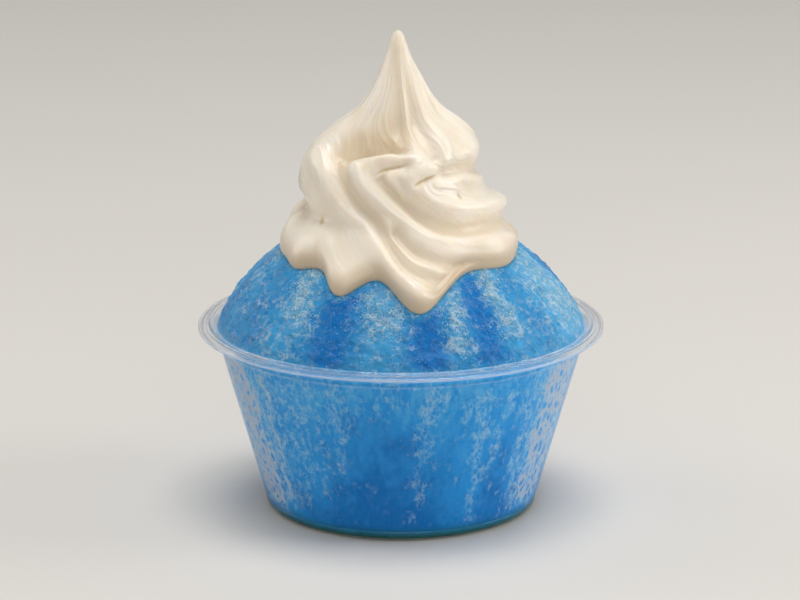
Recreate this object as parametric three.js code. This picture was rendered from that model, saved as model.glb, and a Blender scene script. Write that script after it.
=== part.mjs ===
// A kakigori: shaved ice with blue syrup heaped in a clear cup and crowned with
// a swirl of soft serve. Millimetres, +Z up, origin at the middle of the foot.
// Azimuths are in degrees, anticlockwise from +X seen from above.

import * as THREE from 'three';

const { clamp, degToRad, euclideanModulo, lerp, smoothstep } = THREE.MathUtils;

// ---------------------------------------------------------------- dimensions

const FIT_GAP = 0.35; // clearance between neighbouring pieces

// Cup: a thin conical wall on a foot ring, with a wide ridged rim.
const MOUTH_RADIUS = 58.6; // inner edge of the rim
const WALL_THICKNESS = 0.57;
const CONE_RADIUS = 42.5; // outer wall, carried down to the ground
const CONE_FLARE = 0.2886; // radius gained for each millimetre of height
const STEP_HEIGHT = 54.4; // stacking step under the rim
const FOOT_OUTER = 40.4;
const FOOT_INNER = 37.2;
const FOOT_RISE = 1.2; // the floor panel stands this high inside the foot ring
const FLOOR_THICKNESS = 0.6;
const CORNER_HEIGHT = 2.9; // the round corner meets the wall here
const CUP_SEGMENTS = 56;

// Rim section from the stacking step out, over the edge and back to the mouth:
// distance out from the mouth's edge, height above the step.
const RIM_SECTION = [
  [-0.4, 0],
  [0.25, 0.55],
  [0.4, 3.5],
  [2, 4.8],
  [4.5, 4.4],
  [5, 3.85],
  [5.85, 3.95],
  [5.9, 4.65],
  [5.2, 5.1],
  [3.9, 5.2],
  [3.5, 5.45],
  [2.8, 5.4],
  [2.1, 5.9],
  [1.6, 5.85],
  [1.2, 5.45],
  [0.3, 5.2],
  [0, 4.7],
  [-0.25, 1.1],
  [-0.95, 0.4],
];

// Melted syrup on the cup's floor, and the heap of shaved ice above it.
const SYRUP_LEVEL = 2.8;
const DOME_RADIUS = 58.6;
const DOME_EDGE = 57;
const DOME_RISE = 40;
const DOME_SHOULDER = 1.8; // powers that round the dome's side and flatten its top
const DOME_FULLNESS = 0.66;
const DOME_TRIM = 58.1; // radius at which the dome turns down into the cup
const ICE_COLUMNS = 60;
const DOME_ROWS = 16;
const ICE_WALL_ROWS = 6;
const LUMP_HEIGHT = 0.45;

// Runs that the syrup has melted down the dome: azimuth, depth, half width.
const SYRUP_RUNS = [
  [-158, 1.0, 7],
  [-124, 1.5, 8],
  [-108, 0.8, 5],
  [-80, 2.0, 6],
  [-56, 0.7, 5],
  [-36, 1.0, 7],
  [5, 1.2, 7],
  [38, 1.7, 8],
  [74, 0.9, 6],
  [105, 1.8, 7],
  [140, 1.2, 8],
  [178, 0.9, 6],
];

// Soft serve without its folds: height, reach to the left, reach to the right.
const SWIRL_TIP = 154.3;
const SWIRL_OUTLINE = [
  [76, 37.0, 34.6],
  [86, 36.9, 34.4],
  [90, 35.4, 33.2],
  [94, 34.2, 32.8],
  [98, 31.2, 32.4],
  [102, 31.4, 28.6],
  [106, 31.5, 26.1],
  [112, 30.9, 25.0],
  [118, 27.6, 23.8],
  [122, 23.2, 20.9],
  [125, 19.2, 17.5],
  [128, 15.0, 13.6],
  [132, 11.7, 10.9],
  [137, 8.6, 8.3],
  [145, 4.6, 4.5],
  [SWIRL_TIP, 0, 0],
];
const TIP_LEAN = -0.9; // sideways shift of the tip
const LEAN_START = 120;
const SWIRL_COLUMNS = 64;
const SWIRL_ROWS = 40;
const TIP_CROWDING = 1.25; // rows lie closer together towards the tip
const LIP_ROWS = 3;
const LIP_THICKNESS = 1.9;
const LIP_TUCK = 1.1; // the lip curls in by this much where it meets the ice
const UNDERSIDE_ROWS = 7;
const SHEET_TOP = 98; // below this the soft serve spreads towards its runny edge

// Runny lower edge: azimuth, reach past the plain edge, half width in degrees.
const SWIRL_EDGE = 37;
const DRIPS = [
  [-165, 1.5, 14],
  [-146, 2.4, 7],
  [-116, 7.8, 7.3],
  [-84, 10.8, 8.2],
  [-70, 3.2, 8],
  [-32, 2.2, 12],
  [48, 4.0, 10],
  [98, 7.0, 9],
  [136, 4.0, 10],
  [172, 0.6, 10],
];

// Strands of the swirl: how far each crest stands proud of the plain outline (a
// valley is negative), and its path as azimuth and height. The surface between
// the paths is blended from them.
const STRANDS = [
  // left side: the lobe, the belly and the flank of the big strand
  [0.4, [[-176, 97], [-172, 92], [-160, 86]]],
  [-1.0, [[-192, 99.5], [-176, 99.3], [-163, 98.6], [-150, 97.9]]],
  [0.6, [[-164, 101.6], [-151, 97.1], [-141, 95.2], [-131, 92.3]]],
  [0.2, [[-150, 92], [-135, 88], [-118, 84]]],
  [-0.6, [[-152, 108], [-140, 102], [-126, 96], [-114, 90], [-107, 85]]],
  [0.8, [[-128, 148], [-133, 138], [-148, 131.7], [-166, 126.5], [-172, 120], [-168, 113], [-162, 107]]],
  // front: crests and valleys that sweep down to the right
  [2.4, [[-158, 116.3], [-144, 113.7], [-134, 107.8], [-119, 102.1], [-107, 97.9], [-95, 91.3],
    [-87, 85.5], [-85, 82.2]]],
  [-2.2, [[-136, 117.4], [-130, 112.3], [-120, 105.8], [-105, 100.3], [-96, 94], [-87, 87.8],
    [-75, 85.2], [-62, 84]]],
  [0.9, [[-99, 99.6], [-91, 94.5], [-81, 90.5], [-73, 86.9]]],
  [-2.1, [[-93, 97.1], [-83, 92], [-74, 89.8], [-61, 86.8], [-48, 84]]],
  [1.2, [[-87, 96.8], [-75, 92.7], [-59, 89.9], [-40, 85.9]]],
  [1.1, [[-70, 118.6], [-87, 119.7], [-103, 120.4], [-116, 119.6], [-123, 117.3]]],
  [1.9, [[-123, 117.3], [-116, 113.4], [-104, 107.9], [-92, 104.2], [-80, 99.1], [-69, 95.3],
    [-49, 93.2], [-18, 90.7]]],
  [-1.4, [[-107, 114.4], [-103, 115.8], [-94, 116.8], [-88, 117.2]]],
  [-0.6, [[-98, 113.4], [-92, 111.2], [-89, 108]]],
  [-2.4, [[-103, 112.6], [-97, 109.4], [-86, 104.4], [-73, 99.3], [-56, 96.5], [-42, 96.3],
    [-25, 95.9], [-6, 94.3]]],
  [2.6, [[-71, 116.4], [-79, 115.2], [-84, 113.2], [-82, 110.8]]],
  [2.0, [[-82, 110.8], [-78, 108.6], [-67, 105.3], [-48, 102.7], [-31, 101.3], [0, 98.5], [24, 96.5]]],
  [-1.9, [[-58, 114.2], [-46, 114], [-34, 113.4], [0, 110], [45, 108], [90, 106], [135, 102.5],
    [180, 99.3], [196, 98.5]]],
  [0.8, [[-66, 111], [-54, 111.4], [-39, 110.6], [-12, 108], [20, 106]]],
  [-0.8, [[-40, 107.4], [-30, 106.2], [0, 104], [40, 101], [75, 96], [100, 91]]],
  // pocket below the peak, where the last strand folds over, and flutes of the peak
  [-5.2, [[-91, 122.8], [-99, 123.2], [-108, 122.6], [-120, 121.6], [-128, 120.4], [-135, 118.2]]],
  [-1.7, [[-101, 148], [-94, 136], [-91, 127.3], [-90, 122.8]]],
  [0.9, [[-81, 148.6], [-83, 137], [-82, 128.6], [-81, 122.4]]],
  [-1.4, [[-67, 148], [-70, 135.4], [-70, 124.7], [-66, 118.6]]],
  [1.5, [[-47, 148], [-57, 138], [-55, 128.7], [-51, 122.9], [-56, 117.1]]],
  [-0.9, [[-30, 143], [-37, 130.4], [-34, 126.2], [-38, 118.6]]],
  [0.9, [[-16, 143], [-16, 131], [-6, 126], [-9, 121], [-20, 115.2]]],
  [-0.5, [[30, 142], [26, 130], [36, 122]]],
  [0.5, [[70, 142], [62, 130], [74, 122]]],
  [-0.6, [[110, 140], [106, 130], [118, 122]]],
  [0.5, [[150, 142], [144, 130], [150, 121]]],
  [-0.6, [[-176, 140], [-178, 130], [-188, 120], [-192, 114]]],
  // the coil's creases and crowns, from the right side round the back
  [-1.6, [[-16, 94.6], [0, 94], [45, 91.5], [90, 90], [135, 88.6], [170, 87]]],
  [0.6, [[-20, 118], [10, 116.5], [50, 114], [90, 112], [130, 110], [170, 108]]],
  [0.5, [[60, 105], [90, 98], [120, 95.5], [160, 92.5]]],
  [0.3, [[-10, 86.5], [30, 86], [80, 85], [130, 84.5], [175, 84]]],
  [1.6, [[0, 128], [22, 119], [48, 112], [84, 101], [112, 95]]],
  [-1.6, [[28, 124], [52, 115.5], [84, 106.5], [120, 97.5]]],
  [1.6, [[52, 126], [76, 118], [104, 110.5], [140, 100.5], [162, 95]]],
  [-1.6, [[80, 122], [106, 114.5], [138, 105.5], [166, 98]]],
  [1.4, [[104, 124], [128, 116.5], [158, 109], [180, 104]]],
];
const STRAND_STEPS = 36; // short straight lengths along each path
const CREST_BLEND = 6; // rounds the strands, in square millimetres
const VALLEY_BLEND = 2; // keeps the valleys between them tighter
const STRAND_PULL = 1.5; // how fast a path's hold on the surface fades with distance

// Soft hollow that deepens the pocket: depth, half width and path.
const POCKET = [-2.6, 6.5, [[-97, 126], [-112, 124.8], [-126, 122.4]]];

// ------------------------------------------------------------------- helpers

/** Smooth cubic curve through rows that start with x; value picks what to follow in a row. */
function throughRows(rows, x, value) {
  let i = 0;
  while (i < rows.length - 2 && x > rows[i + 1][0]) i += 1;
  const slope = (k) => {
    const low = rows[Math.max(k - 1, 0)];
    const high = rows[Math.min(k + 1, rows.length - 1)];
    return (value(high) - value(low)) / (high[0] - low[0]);
  };
  const span = rows[i + 1][0] - rows[i][0];
  const t = clamp((x - rows[i][0]) / span, 0, 1);
  const start = (1 + 2 * t) * (1 - t) ** 2 * value(rows[i]) + t * (1 - t) ** 2 * span * slope(i);
  const end = t * t * (3 - 2 * t) * value(rows[i + 1]) + t * t * (t - 1) * span * slope(i + 1);
  return start + end;
}

/** A bell curve of a turn angle: 1 at the centre azimuth, fading over its half width. */
function bell(azimuth, centre, halfWidth) {
  const turn = euclideanModulo(azimuth - centre + 180, 360) - 180;
  return Math.exp(-0.5 * (turn / halfWidth) ** 2);
}

const wallOutside = (z) => CONE_RADIUS + CONE_FLARE * z;
const wallInside = (z) => wallOutside(z) - WALL_THICKNESS;

/** Closed body from rings of points; the first and last ring shrink to a pole. */
function closedSkin(rowCount, columnCount, pointAt) {
  const positions = [];
  const faces = [];
  positions.push(...pointAt(0, 0));
  for (let row = 1; row < rowCount; row += 1) {
    for (let column = 0; column < columnCount; column += 1) {
      positions.push(...pointAt(row, (360 * column) / columnCount - 180));
    }
  }
  positions.push(...pointAt(rowCount, 0));
  const vertex = (row, column) => 1 + (row - 1) * columnCount + (column % columnCount);
  const last = 1 + (rowCount - 1) * columnCount;
  for (let column = 0; column < columnCount; column += 1) {
    faces.push(0, vertex(1, column), vertex(1, column + 1));
    for (let row = 1; row < rowCount - 1; row += 1) {
      const [a, b] = [vertex(row, column), vertex(row, column + 1)];
      const [c, d] = [vertex(row + 1, column), vertex(row + 1, column + 1)];
      faces.push(a, c, d, a, d, b);
    }
    faces.push(vertex(rowCount - 1, column), last, vertex(rowCount - 1, column + 1));
  }
  const geometry = new THREE.BufferGeometry();
  geometry.setAttribute('position', new THREE.Float32BufferAttribute(positions, 3));
  geometry.setIndex(faces);
  geometry.computeVertexNormals();
  return geometry;
}

function namedMesh(name, geometry, material) {
  const mesh = new THREE.Mesh(geometry, new THREE.MeshStandardMaterial(material));
  mesh.name = name;
  return mesh;
}

/** Solid of revolution about +Z from a profile of [radius, height]. */
function revolve(profile, segments) {
  const points = profile.map(([radius, height]) => new THREE.Vector2(radius, height));
  return new THREE.LatheGeometry(points, segments).rotateX(Math.PI / 2);
}

// ----------------------------------------------------------------------- cup

function cup() {
  const corner = (inset, steps) =>
    Array.from({ length: steps + 1 }, (_, i) => {
      const turn = (Math.PI / 2) * (i / steps);
      const top = CORNER_HEIGHT + inset;
      const outer = wallOutside(top) - inset;
      const reach = outer - FOOT_OUTER;
      return [outer - reach * (1 - Math.sin(turn)), top - (top - inset) * Math.cos(turn)];
    });
  const outside = corner(0, 5);
  const inside = corner(WALL_THICKNESS, 3).reverse();
  const rim = RIM_SECTION.map(([out, up]) => [MOUTH_RADIUS + out, STEP_HEIGHT + up]);
  return revolve(
    [
      [0, FOOT_RISE],
      [FOOT_INNER - 1, FOOT_RISE],
      [FOOT_INNER, 0],
      ...outside,
      ...rim,
      ...inside,
      [FOOT_INNER - 0.6, WALL_THICKNESS],
      [FOOT_INNER - 1.5, FOOT_RISE + FLOOR_THICKNESS],
      [0, FOOT_RISE + FLOOR_THICKNESS],
    ],
    CUP_SEGMENTS,
  );
}

// ------------------------------------------------------- melted syrup and ice

function meltedSyrup() {
  const floor = FOOT_RISE + FLOOR_THICKNESS + FIT_GAP;
  return revolve(
    [
      [0, floor],
      [FOOT_INNER - 1.3, floor],
      [FOOT_INNER - 0.4, WALL_THICKNESS + FIT_GAP],
      [FOOT_OUTER - 1.2, WALL_THICKNESS + FIT_GAP],
      [FOOT_OUTER + 0.7, 1.6],
      [wallInside(SYRUP_LEVEL) - FIT_GAP - 0.15, SYRUP_LEVEL],
      [0, SYRUP_LEVEL],
    ],
    CUP_SEGMENTS,
  );
}

/** How far the soft serve reaches over the ice at an azimuth. */
function swirlEdge(azimuth) {
  return DRIPS.reduce((reach, [at, out, half]) => reach + out * bell(azimuth, at, half), SWIRL_EDGE);
}

/** Height of the dome of ice: smooth under the soft serve, lumpy and run with syrup outside it. */
function domeHeight(radius, azimuth) {
  const inward = clamp(1 - (radius / DOME_RADIUS) ** DOME_SHOULDER, 0, 1);
  const smooth = DOME_EDGE + DOME_RISE * inward ** DOME_FULLNESS;
  const edge = swirlEdge(azimuth);
  const open = smoothstep(radius, edge + 0.5, edge + 5) * smoothstep(DOME_TRIM - radius, 0, 4);
  const runs = SYRUP_RUNS.reduce((sum, [at, depth, half]) => sum + depth * bell(azimuth, at, half), 0);
  const turn = degToRad(azimuth);
  const lumps =
    Math.sin(13 * turn + 0.31 * radius) * Math.sin(0.9 * radius + 5 * turn) +
    0.7 * Math.sin(22 * turn - 0.5 * radius) * Math.cos(1.3 * radius - 9 * turn);
  return smooth + open * (LUMP_HEIGHT * lumps - runs);
}

function shavedIce() {
  const wallTop = STEP_HEIGHT + 0.2;
  const wallFoot = SYRUP_LEVEL + FIT_GAP;
  const rows = DOME_ROWS + ICE_WALL_ROWS + 2;
  return closedSkin(rows, ICE_COLUMNS, (row, azimuth) => {
    let radius;
    let height;
    if (row <= DOME_ROWS) {
      radius = DOME_TRIM * Math.sin((Math.PI / 2) * (row / DOME_ROWS)) ** 0.9;
      height = domeHeight(radius, azimuth);
    } else if (row < rows) {
      height = lerp(wallTop, wallFoot, (row - DOME_ROWS - 1) / ICE_WALL_ROWS);
      radius = wallInside(height) - FIT_GAP - 0.1;
    } else {
      radius = 0;
      height = wallFoot;
    }
    const turn = degToRad(azimuth);
    return [radius * Math.cos(turn), radius * Math.sin(turn), height];
  });
}

// ---------------------------------------------------------------- soft serve

/** Radius of the swirl without folds: squares are blended, so the tip comes out round. */
function bareRadius(azimuth, height) {
  const left = throughRows(SWIRL_OUTLINE, height, (row) => row[1] ** 2);
  const right = throughRows(SWIRL_OUTLINE, height, (row) => row[2] ** 2);
  const rightShare = (1 + Math.cos(degToRad(azimuth))) / 2;
  const radius = lerp(Math.sqrt(Math.max(left, 0)), Math.sqrt(Math.max(right, 0)), rightShare);
  const lipHeight = lipTop(azimuth);
  const sheet = clamp((SHEET_TOP - height) / (SHEET_TOP - lipHeight), 0, 1);
  const spread = Math.sin((Math.PI / 2) * sheet) ** 2;
  return radius + spread * (swirlEdge(azimuth) - radius);
}

/** Height at which the runny edge reaches furthest out. */
function lipTop(azimuth) {
  return domeHeight(swirlEdge(azimuth), azimuth) + FIT_GAP + LIP_THICKNESS;
}

function swirlPoint(azimuth, height, radius) {
  const turn = degToRad(azimuth);
  const lean = TIP_LEAN * smoothstep(height, LEAN_START, SWIRL_TIP);
  return new THREE.Vector3(radius * Math.cos(turn) + lean, radius * Math.sin(turn), height);
}

/** A path over the bare swirl as a chain of short straight lengths. */
function layPath(path) {
  const curve = new THREE.SplineCurve(path.map(([azimuth, height]) => new THREE.Vector2(azimuth, height)));
  const points = curve.getPoints(STRAND_STEPS).map(({ x, y }) => swirlPoint(x, y, bareRadius(x, y)));
  return points.slice(1).map((end, i) => new THREE.Line3(points[i], end));
}

function squaredDistance(point, lengths) {
  const nearest = new THREE.Vector3();
  const gaps = lengths.map((length) =>
    length.closestPointToPoint(point, true, nearest).distanceToSquared(point),
  );
  return Math.min(...gaps);
}

/** Relief at a point: the strands' heights, weighted by closeness, and the pocket's bell. */
function reliefHeight(strands, pocket, point) {
  let total = 0;
  let weights = 0;
  strands.forEach(({ rise, lengths }) => {
    const blend = rise > 0 ? CREST_BLEND : VALLEY_BLEND;
    const weight = (squaredDistance(point, lengths) + blend) ** -STRAND_PULL;
    total += weight * rise;
    weights += weight;
  });
  const [depth, halfWidth] = POCKET;
  return total / weights + depth * Math.exp(-squaredDistance(point, pocket) / halfWidth ** 2);
}

function softServe() {
  const strands = STRANDS.map(([rise, path]) => ({ rise, lengths: layPath(path) }));
  const pocket = layPath(POCKET[2]);
  const rows = SWIRL_ROWS + LIP_ROWS + UNDERSIDE_ROWS;
  return closedSkin(rows, SWIRL_COLUMNS, (row, azimuth) => {
    const edge = swirlEdge(azimuth);
    const lip = lipTop(azimuth);
    const tuck = edge - LIP_TUCK;
    const contact = domeHeight(tuck, azimuth) + FIT_GAP;
    if (row > SWIRL_ROWS + LIP_ROWS) {
      const radius = tuck * (1 - (row - SWIRL_ROWS - LIP_ROWS) / UNDERSIDE_ROWS);
      return swirlPoint(azimuth, domeHeight(radius, azimuth) + FIT_GAP, radius).toArray();
    }
    if (row > SWIRL_ROWS) {
      const curl = (Math.PI / 2) * ((row - SWIRL_ROWS) / LIP_ROWS);
      const radius = edge - LIP_TUCK * (1 - Math.cos(curl));
      return swirlPoint(azimuth, lip + (contact - lip) * Math.sin(curl), radius).toArray();
    }
    const down = (row / SWIRL_ROWS) ** TIP_CROWDING;
    const height = lerp(SWIRL_TIP, lip, down);
    const radius = bareRadius(azimuth, height);
    const point = swirlPoint(azimuth, height, radius);
    const slope = bareRadius(azimuth, height + 0.5) - bareRadius(azimuth, height - 0.5);
    const turn = degToRad(azimuth);
    const outward = new THREE.Vector3(Math.cos(turn), Math.sin(turn), -slope).normalize();
    const fade = smoothstep(SWIRL_TIP - height, 2, 24) * smoothstep(height - lip, 0, 4);
    return point.addScaledVector(outward, fade * reliefHeight(strands, pocket, point)).toArray();
  });
}

// ------------------------------------------------------------------ assembly

const kakigori = new THREE.Group();
kakigori.add(
  namedMesh('cup', cup(), {
    color: 0xe9eef2,
    roughness: 0.08,
    metalness: 0,
    transparent: true,
    opacity: 0.35,
  }),
  namedMesh('melted_syrup', meltedSyrup(), { color: 0x0b6a78, roughness: 0.1, metalness: 0 }),
  namedMesh('shaved_ice', shavedIce(), { color: 0x2f8fd0, roughness: 0.55, metalness: 0 }),
  namedMesh('soft_serve', softServe(), { color: 0xefe4cf, roughness: 0.4, metalness: 0 }),
);

export default kakigori;
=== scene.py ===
"""Kakigori: blue shaved ice heaped in a clear cup, crowned with a swirl of soft serve."""

import bpy
import numpy as np
from bpy.props import FloatProperty, FloatVectorProperty, IntProperty, PointerProperty
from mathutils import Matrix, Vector


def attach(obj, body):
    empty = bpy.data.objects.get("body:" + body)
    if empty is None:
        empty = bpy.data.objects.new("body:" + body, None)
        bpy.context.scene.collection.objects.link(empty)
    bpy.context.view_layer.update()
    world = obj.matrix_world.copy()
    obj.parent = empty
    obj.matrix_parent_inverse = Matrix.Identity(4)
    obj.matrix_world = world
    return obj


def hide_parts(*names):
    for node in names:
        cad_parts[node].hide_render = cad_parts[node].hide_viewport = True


bl_info = {
    "name": "Kakigori",
    "version": (1, 0, 0),
    "blender": (4, 5, 0),
    "location": "3D View > Sidebar > Kakigori",
    "description": "Makes a clear cup of blue shaved ice topped with a swirl of soft serve",
    "category": "Add Mesh",
}

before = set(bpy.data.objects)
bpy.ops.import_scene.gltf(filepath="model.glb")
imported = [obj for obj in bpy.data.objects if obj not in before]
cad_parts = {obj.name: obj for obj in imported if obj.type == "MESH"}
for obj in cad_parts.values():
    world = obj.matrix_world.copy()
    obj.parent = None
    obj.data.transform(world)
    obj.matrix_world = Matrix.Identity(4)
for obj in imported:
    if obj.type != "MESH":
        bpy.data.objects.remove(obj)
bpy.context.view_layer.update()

# Shapes are worked out in millimetres, azimuths in degrees anticlockwise from +X.
MM = 0.001

# ---- cup shape
WALL = 0.57
CONE_RADIUS = 42.5
CONE_FLARE = 0.2886
FOOT_OUTER = 40.4
FOOT_INNER = 37.2
FOOT_RISE = 1.2
FLOOR_TOP = 1.8
CORNER_HEIGHT = 2.9
STEP_HEIGHT = 54.4
MOUTH_RADIUS = 58.6
INTO_WALL = 0.28  # the fill reaches this far into the wall, so that no air shows
RIM_SECTION = np.array([
    (58.2, 54.4), (58.85, 54.95), (59.0, 57.9), (60.6, 59.2), (63.1, 58.8), (63.6, 58.25),
    (64.45, 58.35), (64.5, 59.05), (63.8, 59.5), (62.5, 59.6), (62.1, 59.85), (61.4, 59.8),
    (60.7, 60.3), (60.2, 60.25), (59.8, 59.85), (58.9, 59.6), (58.6, 59.1), (58.35, 55.5),
    (57.65, 54.8),
])
# Milky lines where the plastic is folded: radius, height, half width, strength.
RIM_LINES = [
    (60.5, 60.3, 0.4, 0.45), (62.1, 59.85, 0.3, 0.25), (64.4, 58.8, 0.4, 1.0),
    (58.6, 54.8, 0.35, 0.45),
]
RIM_HAZE = 0.09  # milkiness of the rest of the rim

# ---- ice shape
SYRUP_LEVEL = 2.8
DOME_RADIUS = 58.6
DOME_EDGE = 57.0
DOME_RISE = 40.0
DOME_SHOULDER = 1.8
DOME_FULLNESS = 0.66
DOME_TRIM = 58.1

# Syrup runs down the dome: azimuth, depth, half width.
SYRUP_RUNS = [
    (-158, 1.0, 7), (-124, 1.5, 8), (-108, 0.8, 5), (-80, 2.0, 6), (-56, 0.7, 5), (-36, 1.0, 7),
    (5, 1.2, 7), (38, 1.7, 8), (74, 0.9, 6), (105, 1.8, 7), (140, 1.2, 8), (178, 0.9, 6),
]
# Where the syrup has soaked in deepest, on the dome and behind the wall:
# azimuth, half width, depth of colour. The negative entry at -14 lightens the dome's
# front right: partly thin syrup, partly painted light where that side is lit brighter.
DOME_SYRUP_AND_LIGHT = [
    (-114, 6, 0.9), (-81, 5, 1.0), (-60, 5, 0.8), (-36, 7, 0.35), (-150, 9, 0.35),
    (-176, 5, 0.5), (-14, 14, -0.45), (17, 6, 0.7), (38, 7, 0.9), (74, 6, 0.6),
    (105, 7, 0.9), (140, 8, 0.8),
]
WALL_SYRUP = [(-96, 14, 1), (-50, 6, 0.6), (30, 16, 1), (112, 14, 1)]
# Frosty streaks on the dome: azimuth at the top and at the bottom, half width,
# radius at the top and at the bottom, strength.
DOME_FROST = [
    (-137, -127, 5.0, 36, 54, 0.85), (-136, -136, 4, 54, 58, 0.4), (-98, -94, 7.5, 42, 54, 0.65),
    (-70, -69, 4.2, 42, 57, 0.8), (-48, -52, 4.2, 36, 56, 0.95), (-12, -17, 11, 36, 58, 0.65),
    (-174, -170, 5, 36, 50, 0.6), (-155, -148, 4, 46, 54, 0.2), (22, 20, 5, 38, 57, 0.8),
    (58, 54, 6, 40, 56, 0.7), (88, 86, 4, 44, 58, 0.9), (122, 126, 5, 40, 57, 0.8),
    (156, 158, 5, 38, 57, 0.9),
]
# Frosty streaks behind the wall: azimuth at the top and at the bottom, half
# width, height at the top and at the bottom, strength. The broad, strong streaks at -158
# and -25 lie at the cup's left and right edges as seen: partly frosty gaps, partly
# painted reflection of light off the grazing wall.
WALL_FROST_AND_REFLECTION = [
    (-158, -153, 11, 57, 1, 1.3), (-140, -139, 2.6, 57, 1, 0.86), (-126, -128, 9, 57, 8, 0.42),
    (-112, -111, 1.8, 55, 18, 0.55), (-79, -86, 2.6, 56, 4, 0.55), (-62, -61, 2.0, 52, 1, 0.62),
    (-52, -57, 2.0, 50, 20, 0.5), (-42, -44, 2.4, 57, 4, 0.75), (-25, -28, 11, 57, 1, 1.25),
    (4, 2, 2.4, 56, 6, 0.7), (24, 26, 6, 57, 10, 0.35), (44, 46, 2.4, 56, 3, 0.7),
    (70, 68, 7, 57, 3, 1.05), (97, 96, 2.2, 56, 14, 0.65), (122, 126, 2.6, 56, 3, 0.7),
    (150, 146, 8, 57, 4, 1.05), (174, 174, 2.6, 56, 6, 0.7),
]

# Sizes of the coarse and the fine grains on the dome, and how strongly each shows.
GRAINS = [(2.2, 2.2), (1.1, 1.4)]
DOME_BASE = 52.0  # underside of the dome, hidden in the fill
FILL_TOP = 57.0

# ---- soft serve shape
TIP_HEIGHT = 154.3
# Outline without its folds: height, reach to the left, reach to the right.
SWIRL_OUTLINE = np.array([
    (76, 37.0, 34.6), (86, 36.9, 34.4), (90, 35.4, 33.2), (94, 34.2, 32.8), (98, 31.2, 32.4),
    (102, 31.4, 28.6), (106, 31.5, 26.1), (112, 30.9, 25.0), (118, 27.6, 23.8), (122, 23.2, 20.9),
    (125, 19.2, 17.5), (128, 15.0, 13.6), (132, 11.7, 10.9), (137, 8.6, 8.3), (145, 4.6, 4.5),
    (TIP_HEIGHT, 0, 0),
])
TIP_LEAN = -0.9
LEAN_START = 120.0
LIP_THICKNESS = 1.9
LIP_TUCK = 1.1
LIP_CLEARANCE = 0.35
SINK = 0.4  # the underside lies this far in the ice
SHEET_TOP = 98.0
SWIRL_EDGE = 37.0
# Drips of the lower edge: azimuth, reach past the plain edge, half width.
DRIPS = [
    (-165, 1.5, 14), (-146, 2.4, 7), (-116, 7.8, 7.3), (-84, 10.8, 8.2), (-70, 3.2, 8),
    (-32, 2.2, 12), (48, 4.0, 10), (98, 7.0, 9), (136, 4.0, 10), (172, 0.6, 10),
]
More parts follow.
